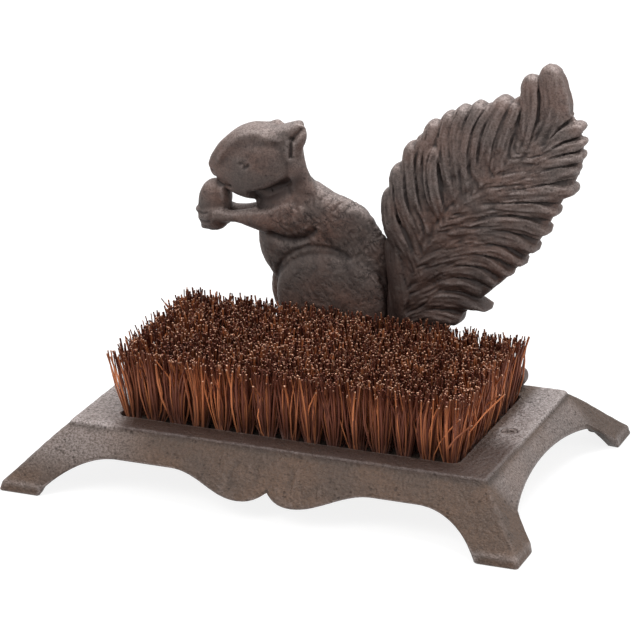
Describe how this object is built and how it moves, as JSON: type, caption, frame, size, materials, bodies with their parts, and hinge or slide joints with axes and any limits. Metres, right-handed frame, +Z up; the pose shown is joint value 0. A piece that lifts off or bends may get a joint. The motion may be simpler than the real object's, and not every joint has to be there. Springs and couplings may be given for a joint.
{
  "type": "boot scraper",
  "caption": "Boot brush: a splayed cast-iron frame on four feet holds a bed of stiff bristles, with a squirrel figure standing on its rear rim.",
  "frame": {"origin": "on the floor, under the middle of the frame's four feet", "axes": "+X along the frame towards the squirrel's tail, +Y from the bristles towards the squirrel, +Z up"},
  "size_m": [0.29, 0.2014, 0.2177],
  "materials": {
    "frame_iron": "antique rust-brown, fine sand-cast grain, rubbed paler on the rim and edges",
    "figure_iron": "antique dark brown, dull, worn lighter on the high spots and dark in the carved hollows",
    "block_wood": "plain planed hardwood, unfinished",
    "bristle": "stiff plant fibre, dark red-brown to orange-brown, pale at the cut tips",
    "screw_steel": "steel, browned to match the casting"
  },
  "bodies": {
    "root": {"base_frame": "frame_iron", "squirrel_figure": "figure_iron", "brush_block": "block_wood", "bristle_bed_left_end": "bristle", "bristle_bed_left_middle": "bristle", "bristle_bed_right_middle": "bristle", "bristle_bed_right_end": "bristle", "block_screw_left": "screw_steel", "block_screw_right": "screw_steel", "figure_screw_left": "screw_steel", "figure_screw_right": "screw_steel", "figure_washer_left": "screw_steel", "figure_washer_right": "screw_steel"}
  },
  "joints": []
}
